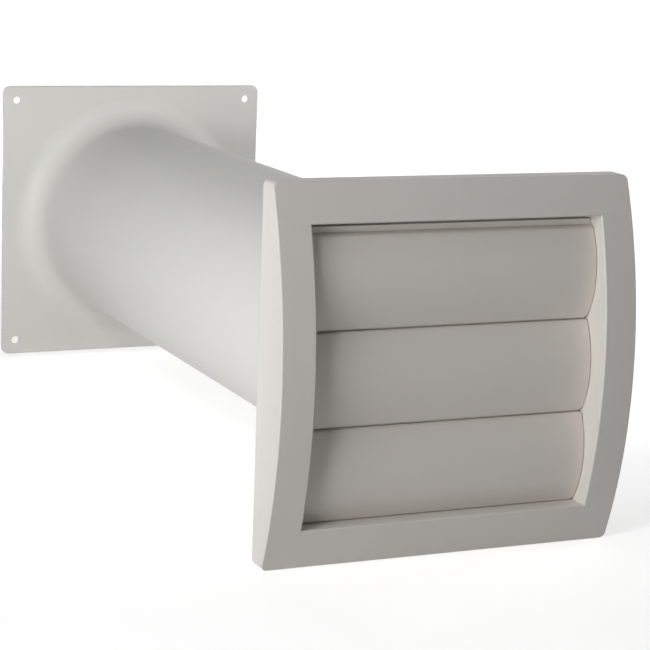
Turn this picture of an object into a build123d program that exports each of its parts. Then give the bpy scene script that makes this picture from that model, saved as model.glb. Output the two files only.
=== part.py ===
"""Louvred wall vent. All sizes are in millimetres.

A duct with a square plate goes through a wall from the room. A louvre plugs into the far end of the
duct from outdoors, and three flaps hang shut in its frame by their own weight.

+Z is up and the louvre looks along -Y. The origin is the centre of the four screw holes, on the
plate's room face.
"""

import os
from math import asin, cos, radians, sin, sqrt

from build123d import *

# Wall plate and duct: one moulding with an even wall
WALL = 2.0
DUCT_R = 53.5
DUCT_LENGTH = 390.0
DUCT_END_CHAMFER = 0.6
FLARE_SPREAD = 14.0
FLARE_LENGTH = 15.0
PLATE_RIM = 7.5
PLATE_CORNER_R = 4.0
PLATE_EDGE_CHAMFER = 0.4
SCREW_INSET = 7.75
SCREW_HOLE_R = 2.1

# Short land just inside the flare, where a fan's spigot plugs in
THROAT_STEP = 0.7
THROAT_LENGTH = 25.0

# Louvre frame: an opening wider than the duct, with a border round it
OPENING_SIDE_ROOM = 10.5
OPENING_END_ROOM = 7.5
OPENING_EDGE_CHAMFER = 0.5
BORDER_SIDE = 14.5
BORDER_TOP = 16.05
BORDER_FOOT = 16.95
FRAME_EDGE_DEPTH = 9.5
FRAME_BOW = 15.0
FRAME_CORNER_R = 2.5
FRAME_EDGE_R = 0.5
FRAME_SKIN = 2.2
RIB_T = 1.6
RIB_SHORT_OF_BACK = 3.0
RIB_SPACING = 42.0

# Back of the louvre: spigot in the duct, and screw holes behind the flaps
SEAT_GAP = 0.3
SPIGOT_CLEARANCE = 0.3
SPIGOT_WALL = 1.6
SPIGOT_LENGTH = 60.0
SPIGOT_CHAMFER = 0.8
LOUVRE_SCREW_INSET = 12.0
LOUVRE_SCREW_HOLE_R = 2.25

# Flaps: a curved blade under a round bead, with a sealing lip behind the flap above
FLAP_COUNT = 3
FLAP_T = 1.4
FLAP_BULGE = 5.2
FLAP_END_GAP = 0.3
FLAP_CORNER_R = 2.0
FLAP_JOINT_GAP = 0.65
TOP_SLOT = 4.45
FOOT_GAP = 0.3
BOTTOM_FLAP_LEAN = 4.5
LIP_T = 1.2
LIP_SET_BACK = 0.5
LIP_OVERLAP = 1.7

# Flap pivots: a pin at each end of the bead, in a boss on the opening's side wall
PIN_R = 1.5
PIN_BEARING = 2.8
PIN_CLEARANCE = 0.08
BEAD_WALL = 0.8
BOSS_WALL = 1.8
BOSS_LENGTH = 4.0
PIVOT_ROOM = 5.75

# Ledge that the bottom flap shuts against
LEDGE_GAP = 0.35
LEDGE_H = 4.0

# How far a cutting shape runs past the face that it cuts
CUT = 1.0

# Sizes that follow from those above
DUCT_BORE_R = DUCT_R - WALL
THROAT_R = DUCT_BORE_R - THROAT_STEP
MOUTH_R = DUCT_R + FLARE_SPREAD
PLATE_SIDE = 2 * (MOUTH_R + PLATE_RIM)
SCREW_PITCH = PLATE_SIDE - 2 * SCREW_INSET
SPIGOT_R = DUCT_BORE_R - SPIGOT_CLEARANCE
SPIGOT_BORE_R = SPIGOT_R - SPIGOT_WALL
OPENING_W = 2 * (DUCT_R + OPENING_SIDE_ROOM)
OPENING_H = 2 * (DUCT_R + OPENING_END_ROOM)
FRAME_W = OPENING_W + 2 * BORDER_SIDE
FRAME_H = OPENING_H + BORDER_TOP + BORDER_FOOT
OPENING_TOP = FRAME_H / 2 - BORDER_TOP
OPENING_FOOT = BORDER_FOOT - FRAME_H / 2
OPENING_MID = (OPENING_TOP + OPENING_FOOT) / 2
BOW_R = ((FRAME_H / 2) ** 2 + FRAME_BOW**2) / (2 * FRAME_BOW)

# Places along Y, from the louvre's back to its front
BACK_Y = -DUCT_LENGTH - SEAT_GAP
BASE_FRONT_Y = BACK_Y - WALL
PIVOT_Y = BASE_FRONT_Y - PIVOT_ROOM
CREST_Y = BACK_Y - FRAME_EDGE_DEPTH - FRAME_BOW
BOW_CENTRE_Y = CREST_Y + BOW_R

# The flap's side view, measured back and up from its pivot
BEAD_R = PIN_R + BEAD_WALL
BOSS_R = PIN_R + PIN_CLEARANCE + BOSS_WALL
LIP_H = BEAD_R + FLAP_JOINT_GAP + LIP_OVERLAP
FLAP_PITCH = (OPENING_H - TOP_SLOT - FOOT_GAP + FLAP_JOINT_GAP) / FLAP_COUNT
FLAP_FOOT = BEAD_R + FLAP_JOINT_GAP - FLAP_PITCH
FLAP_MID = (BEAD_R + FLAP_FOOT) / 2
FLAP_HALF_CHORD = BEAD_R - FLAP_MID
FLAP_ARC_R = (FLAP_HALF_CHORD**2 + FLAP_BULGE**2) / (2 * FLAP_BULGE)
FLAP_CENTRE_BACK = sqrt((FLAP_ARC_R - BEAD_R) ** 2 - FLAP_MID**2)
FLAP_FOOT_ANGLE = -asin(FLAP_HALF_CHORD / FLAP_ARC_R)
FLAP_TOP_ANGLE = asin(-FLAP_MID / (FLAP_ARC_R - BEAD_R))
FLAP_HALF_W = OPENING_W / 2 - FLAP_END_GAP
PIVOT_Z = [OPENING_TOP - TOP_SLOT - BEAD_R - i * FLAP_PITCH for i in range(FLAP_COUNT)]


def along_y(radius, y0, y1, x=0.0, z=0.0):
    """Solid cylinder along Y from y0 to y1."""
    spot = Plane(origin=(x, y0, z), x_dir=(1, 0, 0), z_dir=(0, 1, 0))
    return extrude(spot * Circle(radius), amount=y1 - y0)


def along_x(radius, x0, x1, y, z):
    """Solid cylinder along X from x0 to x1."""
    spot = Plane(origin=(x0, y, z), x_dir=(0, 1, 0), z_dir=(1, 0, 0))
    return extrude(spot * Circle(radius), amount=x1 - x0)


def block(x0, x1, y0, y1, z0, z1):
    """Solid box between two corners."""
    middle = ((x0 + x1) / 2, (y0 + y1) / 2, (z0 + z1) / 2)
    return Pos(*middle) * Box(x1 - x0, y1 - y0, z1 - z0)


def screw_holes(pitch_x, pitch_z, mid_z, radius, y0, y1):
    """Four cylinders at the corners of a rectangle, to be cut away."""
    corners = [(x, z) for x in (-0.5, 0.5) for z in (-0.5, 0.5)]
    return [along_y(radius, y0, y1, x * pitch_x, mid_z + z * pitch_z) for x, z in corners]


def plate():
    """Square plate with rounded corners and softened edges."""
    outline = Plane.XZ * RectangleRounded(PLATE_SIDE, PLATE_SIDE, PLATE_CORNER_R)
    sheet = extrude(outline, amount=WALL)
    rims = sheet.faces().filter_by(Axis.Y)
    return chamfer(rims.edges(), PLATE_EDGE_CHAMFER)


def flare_curve(y, spread, length):
    """Quarter ellipse from the flare's mouth in to the duct's wall, which it meets at y."""
    return EllipticalCenterArc((MOUTH_R, y), spread, length, start_angle=90, arc_size=90)


def duct():
    """Duct, throat and flare, turned about the Y axis."""
    flare_y = -WALL - FLARE_LENGTH
    throat_end = flare_y - THROAT_LENGTH
    inside = flare_curve(flare_y, MOUTH_R - THROAT_R, -flare_y)
    walls = Polyline(
        (THROAT_R, flare_y),
        (THROAT_R, throat_end),
        (DUCT_BORE_R, throat_end - THROAT_STEP),
        (DUCT_BORE_R, -DUCT_LENGTH),
        (DUCT_R - DUCT_END_CHAMFER, -DUCT_LENGTH),
        (DUCT_R, -DUCT_LENGTH + DUCT_END_CHAMFER),
        (DUCT_R, flare_y),
    )
    outside = flare_curve(flare_y, FLARE_SPREAD, FLARE_LENGTH)
    rim = Line((MOUTH_R, -WALL), (MOUTH_R, 0))
    return revolve(make_face([inside, walls, outside, rim]), Axis.Y)


def wall_plate():
    """Plate and duct in one piece, with four screw holes."""
    part = plate() - along_y(MOUTH_R, -WALL - CUT, CUT) + duct()
    return part - screw_holes(SCREW_PITCH, SCREW_PITCH, 0, SCREW_HOLE_R, -WALL - CUT, CUT)


def bow_y(z, inset):
    """Y of the bowed front, or of a surface inset behind it, at height z."""
    return BOW_CENTRE_Y - sqrt((BOW_R - inset) ** 2 - z**2)


def bowed_block(half_w, half_h, inset, back_y):
    """Block with the frame's bowed front, or one inset behind it."""
    top = (bow_y(half_h, inset), half_h)
    foot = (bow_y(half_h, inset), -half_h)
    front = ThreePointArc(top, (bow_y(0, inset), 0), foot)
    rest = Polyline(foot, (back_y, -half_h), (back_y, half_h), top)
    return extrude(Plane.YZ * make_face([front, rest]), amount=half_w, both=True)


def opening_block(grow, y0, y1):
    """Box with the outline of the frame's opening, grown all round."""
    half_w = OPENING_W / 2 + grow
    return block(-half_w, half_w, y0, y1, OPENING_FOOT - grow, OPENING_TOP + grow)


def frame_shell():
    """Bowed front, outer walls and opening walls, hollow behind."""
    body = bowed_block(FRAME_W / 2, FRAME_H / 2, 0, BACK_Y)
    body = fillet(body.edges().filter_by(Axis.Y), FRAME_CORNER_R)
    body = fillet(body.faces().sort_by(Axis.Y)[0].edges(), FRAME_EDGE_R)
    body -= opening_block(0, CREST_Y - CUT, BASE_FRONT_Y)
    front = body.faces().sort_by(Axis.Y)[0]
    body = chamfer(front.inner_wires()[0].edges(), OPENING_EDGE_CHAMFER)
    hollow = bowed_block(FRAME_W / 2 - WALL, FRAME_H / 2 - WALL, FRAME_SKIN, BACK_Y + CUT)
    return body - (hollow - opening_block(WALL, CREST_Y, BACK_Y + 2 * CUT))


def ribs():
    """Stiffening ribs across the hollow behind the frame's front."""
    half_w, half_h = (FRAME_W - WALL) / 2, (FRAME_H - WALL) / 2
    hollow = bowed_block(half_w, half_h, FRAME_SKIN / 2, BACK_Y - RIB_SHORT_OF_BACK)
    hollow -= opening_block(WALL / 2, CREST_Y, BACK_Y)
    half = RIB_T / 2
    bars = []
    for x in (-RIB_SPACING, 0, RIB_SPACING):
        bars.append(block(x - half, x + half, CREST_Y, BACK_Y, -half_h, half_h))
    for z in [pivot_z - FLAP_PITCH / 2 for pivot_z in PIVOT_Z]:
        bars.append(block(-half_w, half_w, CREST_Y, BACK_Y, z - half, z + half))
    return [hollow & bar for bar in bars]


def spigot():
    """Round collar that plugs into the duct."""
    end_y = BACK_Y + SPIGOT_LENGTH
    collar = along_y(SPIGOT_R, BASE_FRONT_Y, end_y)
    return chamfer(collar.faces().sort_by(Axis.Y)[-1].edges(), SPIGOT_CHAMFER)


def pivot_bosses():
    """Bosses outside the opening's side walls, one per pivot pin."""
    inner = OPENING_W / 2 + WALL / 2
    outer = OPENING_W / 2 + BOSS_LENGTH
    sides = [(-outer, -inner), (inner, outer)]
    return [along_x(BOSS_R, x0, x1, PIVOT_Y, z) for x0, x1 in sides for z in PIVOT_Z]


def pivot_holes():
    """Round holes for the pivot pins, to be cut away."""
    reach = OPENING_W / 2 + BOSS_LENGTH + CUT
    return [along_x(PIN_R + PIN_CLEARANCE, -reach, reach, PIVOT_Y, z) for z in PIVOT_Z]


def flap_point(radius, angle):
    """Point on a circle about the blade's centre, as (back, up) from the pivot."""
    return FLAP_CENTRE_BACK - radius * cos(angle), FLAP_MID + radius * sin(angle)


def ledge():
    """Ledge on the sill, just behind the bottom flap's foot."""
    back, up = flap_point(FLAP_ARC_R - FLAP_T, FLAP_FOOT_ANGLE)
    lean = radians(BOTTOM_FLAP_LEAN)
    stop_y = PIVOT_Y + back * cos(lean) - up * sin(lean) + LEDGE_GAP
    half_w = OPENING_W / 2 + WALL / 2
    sill = OPENING_FOOT - WALL / 2
    return block(-half_w, half_w, stop_y, BACK_Y - WALL / 2, sill, OPENING_FOOT + LEDGE_H)


def louvre_frame():
    """The whole frame moulding, from bowed front to spigot."""
    body = frame_shell() + ribs() + pivot_bosses() + ledge() + spigot()
    body -= along_y(SPIGOT_BORE_R, BASE_FRONT_Y - CUT, BACK_Y + SPIGOT_LENGTH + CUT)
    body -= pivot_holes()
    pitch_x = OPENING_W - 2 * LOUVRE_SCREW_INSET
    pitch_z = OPENING_H - 2 * LOUVRE_SCREW_INSET
    base = (BASE_FRONT_Y - CUT, BACK_Y + CUT)
    return body - screw_holes(pitch_x, pitch_z, OPENING_MID, LOUVRE_SCREW_HOLE_R, *base)


def flap_section():
    """Side view of a flap about its pivot: curved blade, pivot bead and sealing lip."""
    inner_r = FLAP_ARC_R - FLAP_T
    foot, top = FLAP_FOOT_ANGLE, FLAP_TOP_ANGLE
    mid = (foot + top) / 2
    front = [flap_point(FLAP_ARC_R, a) for a in (foot, mid, top)]
    rear = [flap_point(inner_r, a) for a in (top, mid, foot)]
    blade = make_face(
        [
            ThreePointArc(*front),
            Line(front[2], rear[0]),
            ThreePointArc(*rear),
            Line(rear[2], front[0]),
        ]
    )
    lip = Pos(LIP_SET_BACK + LIP_T / 2, LIP_H / 2) * Rectangle(LIP_T, LIP_H)
    return blade + Circle(BEAD_R) + lip


def flap(pivot_z, lean):
    """One flap with its two pivot pins, leaning back by some degrees."""
    blade = extrude(Plane.YZ * flap_section(), amount=FLAP_HALF_W, both=True)
    foot = blade.faces().sort_by(Axis.Z)[0]
    corners = foot.edges().sort_by(SortBy.LENGTH)[:2]
    blade = fillet(corners, FLAP_CORNER_R)
    pin_end = OPENING_W / 2 + PIN_BEARING
    pins = along_x(PIN_R, -pin_end, pin_end, 0, 0)
    return Pos(0, PIVOT_Y, pivot_z) * Rot(X=lean) * (blade + pins)


NODES = {
    "wall_plate": wall_plate(),
    "louvre_frame": louvre_frame(),
    "flap_top": flap(PIVOT_Z[0], 0),
    "flap_middle": flap(PIVOT_Z[1], 0),
    "flap_bottom": flap(PIVOT_Z[2], BOTTOM_FLAP_LEAN),
}

os.makedirs("parts", exist_ok=True)
for name, solid in NODES.items():
    export_step(solid, f"parts/{name}.step")
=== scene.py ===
# %% [markdown]
# # A louvred wall vent in white plastic
#
# The vent is a kit for a hole through a wall. A square plate with a long duct goes in from the room, and a
# bowed louvre with three hanging flaps closes the duct outdoors. Every shape is already in the CAD model,
# which loads here as a fixed frame: Blender gives it moulded plastic, a studio and a camera. All places are
# in metres, with the louvre looking along -Y and the origin on the plate's room face.

from math import radians

import bpy
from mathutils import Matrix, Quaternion, Vector


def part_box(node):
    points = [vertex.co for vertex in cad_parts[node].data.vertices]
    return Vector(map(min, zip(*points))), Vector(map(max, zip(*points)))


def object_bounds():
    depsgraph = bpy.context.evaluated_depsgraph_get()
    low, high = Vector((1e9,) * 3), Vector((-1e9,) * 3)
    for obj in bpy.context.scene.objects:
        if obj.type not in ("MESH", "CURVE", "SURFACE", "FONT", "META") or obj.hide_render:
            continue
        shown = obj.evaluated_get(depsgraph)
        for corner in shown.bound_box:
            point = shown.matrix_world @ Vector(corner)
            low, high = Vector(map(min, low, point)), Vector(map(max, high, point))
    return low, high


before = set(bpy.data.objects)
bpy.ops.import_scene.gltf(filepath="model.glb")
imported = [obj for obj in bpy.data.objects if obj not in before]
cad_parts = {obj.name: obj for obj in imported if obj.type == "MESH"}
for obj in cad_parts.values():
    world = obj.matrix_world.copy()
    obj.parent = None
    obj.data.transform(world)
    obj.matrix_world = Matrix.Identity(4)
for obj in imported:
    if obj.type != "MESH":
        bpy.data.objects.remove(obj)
scene = bpy.context.scene
cad_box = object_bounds()
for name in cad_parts:
    low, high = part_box(name)
    print(name, "is", [round(1000 * side, 1) for side in high - low], "mm")

# %% [markdown]
# ## The camera
#
# The photograph was taken from the louvre's left and a little above it, with a long lens, so the duct
# tapers only slightly towards the wall plate. A camera can be set by eye or by its axes. Here it gets a
# place, a point to look at and a small roll, which is how a photographer would describe a tripod.

# %% Set the camera on its tripod
CAMERA_PLACE = Vector((-0.38984, -1.15164, 0.18843))
CAMERA_AIM = Vector((0.00885, -0.2574, -0.01093))
CAMERA_ROLL = radians(2.14)
FOCAL_LENGTH_MM = 119.17
SENSOR_MM = 36.0

lens = bpy.data.cameras.new("studio_camera")
lens.lens = FOCAL_LENGTH_MM
lens.sensor_width = SENSOR_MM
camera = bpy.data.objects.new("studio_camera", lens)
scene.collection.objects.link(camera)
camera.location = CAMERA_PLACE
camera.rotation_mode = "QUATERNION"
looking = (CAMERA_AIM - CAMERA_PLACE).to_track_quat("-Z", "Y")
camera.rotation_quaternion = looking @ Quaternion((0, 0, 1), CAMERA_ROLL)
scene.camera = camera
print("camera is", round((CAMERA_AIM - CAMERA_PLACE).length, 3), "m from its aim")

# %% [markdown]
# ## Small helpers for node trees
#
# A shader node group is a little tool of its own, with named sockets on both sides. Making one in Python
# takes a few lines each time, so small helpers do the repeated parts. The first ones feed a node's inputs,
# add a node, mix two colours, and turn a size in metres into a texture's scale.

# %% Helpers that add nodes and feed them
def feed(tree, node, feeds):
    """Links a node's inputs to other sockets, or fills them with plain values."""
    for socket, value in feeds.items():
        if isinstance(value, bpy.types.NodeSocket):
            tree.links.new(value, node.inputs[socket])
        else:
            node.inputs[socket].default_value = value


def add_node(tree, kind, feeds=None, **settings):
    """Adds a node, sets its properties and feeds its inputs."""
    node = tree.nodes.new(kind)
    for key, value in settings.items():
        setattr(node, key, value)
    feed(tree, node, feeds or {})
    return node


def mix_colours(tree, share, first, second):
    """Mixes two colours. A Mix node keeps its colour sockets at 6 and 7, and its colour result at 2."""
    node = add_node(tree, "ShaderNodeMix", {0: share, 6: first, 7: second}, data_type="RGBA")
    return node.outputs[2]


def one_over(tree, size):
    """Turns a size in metres into the scale that a texture node wants."""
    return add_node(tree, "ShaderNodeMath", {0: 1.0, 1: size}, operation="DIVIDE").outputs[0]


# %% [markdown]
# ## A helper that opens a group
#
# Each shared effect below is a group. A group could also be drawn by hand in the node editor. In a script its
# sockets are made first, through the interface, and then its two ends are there to be linked.

# %% A helper that opens a group with its sockets
FLOAT = "NodeSocketFloat"
COLOUR = "NodeSocketColor"
VECTOR = "NodeSocketVector"


def open_group(name, inputs, outputs):
    """Makes an empty shader group and returns its tree, its input sockets and its end node."""
    tree = bpy.data.node_groups.new(name, "ShaderNodeTree")
    for label, (kind, value) in inputs.items():
        socket = tree.interface.new_socket(label, in_out="INPUT", socket_type=kind)
        socket.default_value = value
    for label, kind in outputs.items():
        tree.interface.new_socket(label, in_out="OUTPUT", socket_type=kind)
    start = tree.nodes.new("NodeGroupInput")
    end = tree.nodes.new("NodeGroupOutput")
    return tree, start.outputs, end


# %% [markdown]
# ## Softened edges
#
# No moulded edge is truly sharp: the steel mould has a tiny radius, and so has the plastic. Real geometry
# could carry each radius, at the cost of many thin faces. The Bevel node rounds only the shading instead,
# and comparing its normal with the surface's own tells where an edge is, which the finish can use as well.

# %% Build the softened edge group
EDGE_RADIUS = 0.0004

tree, given, end = open_group(
    "softened_edges",
    {"Radius": (FLOAT, EDGE_RADIUS)},
    {"Normal": VECTOR, "Edge": FLOAT},
)
rounded = add_node(tree, "ShaderNodeBevel", {"Radius": given["Radius"]}, samples=6)
surface = add_node(tree, "ShaderNodeNewGeometry")
likeness = add_node(
    tree,
    "ShaderNodeVectorMath",
    {0: rounded.outputs["Normal"], 1: surface.outputs["Normal"]},
    operation="DOT_PRODUCT",
)
turned = add_node(
    tree,
    "ShaderNodeMapRange",
    {"Value": likeness.outputs["Value"], "From Min": 1.0, "From Max": 0.8},
)
tree.links.new(rounded.outputs["Normal"], end.inputs["Normal"])
tree.links.new(turned.outputs["Result"], end.inputs["Edge"])
softened_edges = tree
print("group", tree.name, "has", len(tree.nodes), "nodes")

# %% [markdown]
# ## Spark grain
#
# A satin moulding takes its fine grain from the mould, which sparks have eroded into tiny pits. The grain
# is a fraction of a millimetre wide and a few microns deep. A displaced mesh would need millions of faces,
# so a fine noise gives a height for a Bump node instead.

# %% Build the spark grain group
tree, given, end = open_group(
    "spark_grain",
    {"Grain Size": (FLOAT, 0.0006)},
    {"Height": FLOAT},
)
place = add_node(tree, "ShaderNodeTexCoord")
pits = add_node(
    tree,
    "ShaderNodeTexNoise",
    {
        "Vector": place.outputs["Object"],
        "Scale": one_over(tree, given["Grain Size"]),
        "Detail": 3.0,
        "Roughness": 0.6,
    },
)
tree.links.new(pits.outputs["Fac"], end.inputs["Height"])
spark_grain = tree
print("group", tree.name, "has", len(tree.nodes), "nodes")

# %% [markdown]
# ## Tone and painted edge light
#
# White plastic is never one flat white. The melt cools unevenly, so the tone drifts by a percent or two
# over some centimetres. Thin edges let a little light through and look paler, and that light is painted on
# here as a paler colour along the edges. A painted texture could show the drift. A slow noise does it over
# any shape, between the plastic's usual colour and a warmer one.

# %% Build the group for tone and painted edge light
tree, given, end = open_group(
    "tone_and_painted_edge_light",
    {
        "Colour": (COLOUR, (0.7, 0.7, 0.68, 1.0)),
        "Warm Colour": (COLOUR, (0.68, 0.67, 0.64, 1.0)),
        "Painted Edge Light": (COLOUR, (0.74, 0.74, 0.72, 1.0)),
        "Cloud Size": (FLOAT, 0.06),
        "Edge": (FLOAT, 0.0),
    },
    {"Colour": COLOUR},
)
place = add_node(tree, "ShaderNodeTexCoord")
clouds = add_node(
    tree,
    "ShaderNodeTexNoise",
    {
        "Vector": place.outputs["Object"],
        "Scale": one_over(tree, given["Cloud Size"]),
        "Detail": 2.0,
    },
)
warmth = add_node(
    tree,
    "ShaderNodeMapRange",
    {"Value": clouds.outputs["Fac"], "From Min": 0.3, "From Max": 0.7},
)
body = mix_colours(tree, warmth.outputs["Result"], given["Colour"], given["Warm Colour"])
# The Edge mask mixes in a paler colour: painted light, standing for the light that thin edges let through.
edge_light_paint = mix_colours(tree, given["Edge"], body, given["Painted Edge Light"])
tree.links.new(edge_light_paint, end.inputs["Colour"])
tone_and_painted_edge_light = tree
print("group", tree.name, "has", len(tree.nodes), "nodes")

# %% [markdown]
# ## Flow gloss
#
# Plastic runs through its mould from the gate, and the gloss keeps faint streaks along the way it ran:
# down the length of a duct, across the width of a flap. A stretched noise shows them. Its three sizes say
# how long a streak is along each axis, and the result goes to the roughness, smoother at rubbed edges.

# %% Build the flow gloss group
tree, given, end = open_group(
    "flow_gloss",
    {
        "Streak Size": (VECTOR, (0.02, 0.02, 0.02)),
        "Smoothest": (FLOAT, 0.4),
        "Roughest": (FLOAT, 0.5),
        "Edge": (FLOAT, 0.0),
    },
    {"Roughness": FLOAT},
)
place = add_node(tree, "ShaderNodeTexCoord")
stretched = add_node(
    tree,
    "ShaderNodeVectorMath",
    {0: place.outputs["Object"], 1: given["Streak Size"]},
    operation="DIVIDE",
)
streaks = add_node(
    tree,
    "ShaderNodeTexNoise",
    {"Vector": stretched.outputs["Vector"], "Scale": 1.0, "Detail": 4.0, "Roughness": 0.55},
)
gloss = add_node(
    tree,
    "ShaderNodeMapRange",
    {
        "Value": streaks.outputs["Fac"],
        "From Min": 0.3,
        "From Max": 0.7,
        "To Min": given["Smoothest"],
        "To Max": given["Roughest"],
    },
)
rubbed = add_node(
    tree,
    "ShaderNodeMath",
    {0: given["Edge"], 1: -0.08, 2: gloss.outputs["Result"]},
    operation="MULTIPLY_ADD",
)
tree.links.new(rubbed.outputs[0], end.inputs["Roughness"])
flow_gloss = tree
print("group", tree.name, "has", len(tree.nodes), "nodes")

# %% [markdown]
# ## One recipe for three finishes
#
# Plate, frame and flaps come from different moulds in the same white plastic, so one function places the
# four groups in a material and each finish gives them its own values. The shader itself stays in the
# material, where its even values, such as the index of refraction, are set on its own sockets.

# %% The recipe for a moulded plastic
PLASTIC_IOR = 1.48
GRAIN_DEPTH = 0.00002
GRAIN_STRENGTH = 0.3


def place_group(tree, group, feeds):
    """Places a shared group in a material and feeds its inputs."""
    node = tree.nodes.new("ShaderNodeGroup")
    node.node_tree = group
    feed(tree, node, feeds)
    return node.outputs


def moulded_plastic(name, tones, cloud_size, streak_size, gloss_range, grain_size):
    """Makes a satin plastic from the four shared groups."""
    material = bpy.data.materials.new(name)
    material.use_nodes = True
    tree = material.node_tree
    shader = tree.nodes["Principled BSDF"]
    edges = place_group(tree, softened_edges, {"Radius": EDGE_RADIUS})
    grain = place_group(tree, spark_grain, {"Grain Size": grain_size})
    # The third tone is the painted edge light, a paler colour mixed in along the edges.
    tone_feeds = dict(zip(("Colour", "Warm Colour", "Painted Edge Light"), tones))
    tone_feeds.update({"Cloud Size": cloud_size, "Edge": edges["Edge"]})
    tone = place_group(tree, tone_and_painted_edge_light, tone_feeds)
    gloss_feeds = {"Streak Size": streak_size, "Edge": edges["Edge"]}
    gloss_feeds.update(zip(("Smoothest", "Roughest"), gloss_range))
    gloss = place_group(tree, flow_gloss, gloss_feeds)
    bump_feeds = {"Height": grain["Height"], "Normal": edges["Normal"]}
    bump_feeds.update({"Strength": GRAIN_STRENGTH, "Distance": GRAIN_DEPTH})
    bump = add_node(tree, "ShaderNodeBump", bump_feeds)
    tree.links.new(tone["Colour"], shader.inputs["Base Color"])
    tree.links.new(gloss["Roughness"], shader.inputs["Roughness"])
    tree.links.new(bump.outputs["Normal"], shader.inputs["Normal"])
    shader.inputs["IOR"].default_value = PLASTIC_IOR
    return material


def dress(node_name, material):
    """Gives a CAD node its finish in place of the plain one it came with."""
    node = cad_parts[node_name]
    node.material_slots[0].material = material
    print(node_name, "wears", material.name)


# %% [markdown]
# ## The wall plate and its duct
#
# On the real vent this is one tall moulding: the plate screws to the wall and the duct runs through it.
# The plastic enters at the plate and runs down the duct, so the gloss streaks are long along Y. It is the
# most neutral white of the three.

# %% Finish the wall plate and duct
# The third tone is painted edge light: a paler colour for the light that passes through thin edges.
PLATE_TONES = [(0.705, 0.70, 0.67, 1.0), (0.695, 0.688, 0.655, 1.0), (0.735, 0.73, 0.705, 1.0)]
plate_plastic = moulded_plastic(
    "plate_plastic",
    tones=PLATE_TONES,
    cloud_size=0.09,
    streak_size=(0.012, 0.12, 0.012),
    gloss_range=(0.44, 0.52),
    grain_size=0.0006,
)
dress("wall_plate", plate_plastic)

# %% [markdown]
# ## The louvre frame
#
# The bowed frame faces the weather. It is moulded in the same white as the plate, and the little more yellow
# in its colour is painted warm light, which stands for the warmer light that falls on its front. Its plastic
# runs round the opening from several gates, so the streaks have no strong direction, and the tone clouds are
# smaller than on the big plate.

# %% Finish the louvre frame
# These tones are warmer than the plate's: painted warm light, for the warmer light on the front of the vent.
# The third tone is painted edge light.
FRAME_TONES_WITH_WARM_LIGHT = [(0.715, 0.69, 0.655, 1.0), (0.705, 0.675, 0.64, 1.0), (0.74, 0.72, 0.69, 1.0)]
frame_plastic = moulded_plastic(
    "frame_plastic",
    tones=FRAME_TONES_WITH_WARM_LIGHT,
    cloud_size=0.05,
    streak_size=(0.03, 0.03, 0.05),
    gloss_range=(0.46, 0.54),
    grain_size=0.0005,
)
dress("louvre_frame", frame_plastic)

# %% [markdown]
# ## The three flaps
#
# Each flap is a thin curved blade that hangs on two pins and lifts when air blows out. It fills from one
# end, so its streaks run across the vent, along X. Its colour is the same white with painted warm light in
# it: the warmth stands for the warm light that falls on the front of the vent. One material serves all three,
# because they come out of one mould. A loop is enough to hand it out.

# %% Finish the three flaps
# These tones carry painted warm light, for the warm light on the front of the vent. The third tone is painted
# edge light.
FLAP_TONES_WITH_WARM_LIGHT = [(0.73, 0.69, 0.645, 1.0), (0.72, 0.675, 0.63, 1.0), (0.75, 0.72, 0.685, 1.0)]
flap_plastic = moulded_plastic(
    "flap_plastic",
    tones=FLAP_TONES_WITH_WARM_LIGHT,
    cloud_size=0.05,
    streak_size=(0.09, 0.01, 0.01),
    gloss_range=(0.44, 0.52),
    grain_size=0.0005,
)
for flap in ("flap_top", "flap_middle", "flap_bottom"):
    dress(flap, flap_plastic)

# %% [markdown]
# ## White to the eye only
#
# A product shot has a white ground, but paper lit like the object comes out grey, and more light would wash
# out the object. Light Path solves that. It tells what kind of ray looks at a surface, so the floor and the
# world can glow for the camera and in reflections, while the light that they send to the object stays plain.

# %% A helper that tells looks from light
def seen_directly(tree):
    """Value of 1 where the camera, a reflection or glass looks at the surroundings, and 0 for their light."""
    path = add_node(tree, "ShaderNodeLightPath")
    seen = path.outputs["Is Camera Ray"]
    for ray in ("Is Glossy Ray", "Is Transmission Ray"):
        either = add_node(tree, "ShaderNodeMath", {0: seen, 1: path.outputs[ray]}, operation="MAXIMUM")
        seen = either.outputs[0]
    return seen


# %% [markdown]
# ## The paper floor
#
# The vent lies on a sheet of white paper, so wide that no edge of it shows from any side. A plane is all it
# takes. It lies a tenth of a millimetre under the lowest edge, so that the two faces never flicker.

# %% Lay the sheet
FLOOR_GAP = 0.0001
FLOOR_Z = cad_box[0].z - FLOOR_GAP
FLOOR_SIDE = 30.0

bpy.ops.mesh.primitive_plane_add(size=FLOOR_SIDE, location=(0, 3, FLOOR_Z))
floor = bpy.context.object
floor.name = "studio_floor"
print("floor lies at", round(1000 * FLOOR_Z, 1), "mm")

# %% [markdown]
# ## The paper
#
# Paper is matt and nearly white. Its glow is weaker close to the object, where the soft shadow has to stay
# visible, and reaches full white further away, where the floor should melt into the background.

# %% Make the paper and lay it on the floor
NEAR_GLOW = 0.6
FAR_GLOW = 1.0
GLOW_CENTRE = (0, -0.2, FLOOR_Z)
GLOW_NEAR_M = 0.3
GLOW_FAR_M = 1.2

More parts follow.
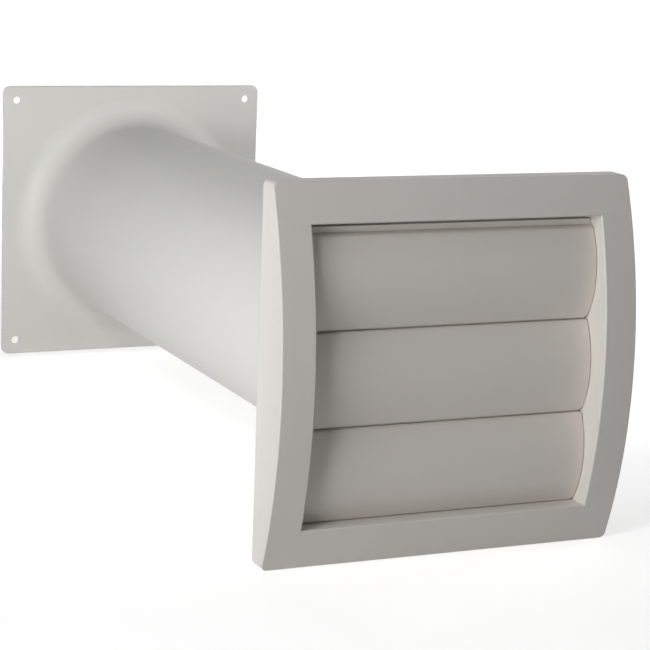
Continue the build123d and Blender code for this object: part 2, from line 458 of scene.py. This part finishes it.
paper = bpy.data.materials.new("white_paper")
paper.use_nodes = True
tree = paper.node_tree
sheet = tree.nodes["Principled BSDF"]
sheet.inputs["Base Color"].default_value = (0.85, 0.85, 0.85, 1.0)
sheet.inputs["Roughness"].default_value = 0.9
sheet.inputs["Specular IOR Level"].default_value = 0.0
sheet.inputs["Emission Color"].default_value = (1.0, 1.0, 1.0, 1.0)
spot = add_node(tree, "ShaderNodeNewGeometry").outputs["Position"]
reach = add_node(tree, "ShaderNodeVectorMath", {0: spot, 1: GLOW_CENTRE}, operation="DISTANCE")
glow = add_node(
    tree,
    "ShaderNodeMapRange",
    {
        "Value": reach.outputs["Value"],
        "From Min": GLOW_NEAR_M,
        "From Max": GLOW_FAR_M,
        "To Min": NEAR_GLOW,
        "To Max": FAR_GLOW,
    },
)
lit = add_node(
    tree, "ShaderNodeMath", {0: glow.outputs["Result"], 1: seen_directly(tree)}, operation="MULTIPLY"
)
tree.links.new(lit.outputs[0], sheet.inputs["Emission Strength"])
floor.data.materials.append(paper)
print("paper glows from", NEAR_GLOW, "near the vent to", FAR_GLOW)

# %% [markdown]
# ## The room beyond the floor
#
# Above the paper the world takes over. It is white to the camera and in reflections, by the same helper as
# the floor, and it gives the object only a faint even light of its own, so that the lamps below do the
# modelling.

# %% Fill the world with white
AMBIENT = 0.02

world = bpy.data.worlds.new("white_room")
scene.world = world
world.use_nodes = True
tree = world.node_tree
backdrop = tree.nodes["Background"]
backdrop.inputs["Color"].default_value = (1.0, 1.0, 1.0, 1.0)
level = add_node(
    tree,
    "ShaderNodeMapRange",
    {"Value": seen_directly(tree), "To Min": AMBIENT, "To Max": 1.0},
)
tree.links.new(level.outputs["Result"], backdrop.inputs["Strength"])
print("world lights the vent with", AMBIENT, "of its white")

# %% [markdown]
# ## The lamps
#
# The shadows in the photograph tell where the light was. The frame's left edge shades the flaps over about
# its own depth, so the key stands well to the left and above. The plate is brighter than the louvre although
# both face the camera, so there is light between them. Flat panels are soft. Two
# more, on the right and in the room behind the plate, are for anyone who looks at the vent from there.

# %% Hang the soft lamps
def soft_panel(name, place, facing, size, watts):
    """Hangs a flat soft lamp that the camera doesn't see."""
    lamp = bpy.data.lights.new(name, "AREA")
    lamp.shape = "RECTANGLE"
    lamp.size, lamp.size_y = size
    lamp.energy = watts
    panel = bpy.data.objects.new(name, lamp)
    scene.collection.objects.link(panel)
    panel.location = place
    panel.rotation_mode = "QUATERNION"
    panel.rotation_quaternion = Vector(facing).to_track_quat("-Z", "Z")
    panel.visible_camera = False
    print(name, "gives", watts, "W")


soft_panel("left_key", (-0.9, -1.1, 0.95), (0.9, 0.7, -0.95), (0.2, 0.3), 3.7)
soft_panel("left_low", (-0.9, -1.0, 0.15), (1, 0.5, 0), (0.4, 0.3), 1.6)
soft_panel("left_side", (-0.9, -0.7, 0.13), (1, 0, 0), (0.25, 0.4), 3.5)
soft_panel("left_back", (-0.7, 0.35, 0.45), (1, -0.6, -0.5), (0.3, 0.4), 0.4)
soft_panel("front_low", (-0.2, -1.5, 0.0), (0, 1, 0), (0.6, 0.12), 0.35)
soft_panel("plate_from_above", (0, -0.42, 0.55), (0, 1, -0.7), (0.5, 0.3), 0.6)
soft_panel("plate_from_left", (-0.3, -0.42, 0.0), (0, 1, 0), (0.2, 0.12), 0.33)
soft_panel("plate_from_right", (0.45, -0.42, 0.25), (0, 1, 0), (0.3, 0.4), 1.0)
soft_panel("right_side", (0.9, -0.15, 0.2), (-1, 0, -0.1), (0.4, 0.4), 2.0)
soft_panel("room_side", (0, 1.2, 0.06), (0, -1, 0), (0.3, 0.2), 7.0)

# %% [markdown]
# ## The view transform
#
# The finishes add no shape of their own, so the dressed vent has the size that the CAD model had.
# The last cell sets the scene's view transform to Standard.

# %% Set the view transform
scene.view_settings.view_transform = "Standard"
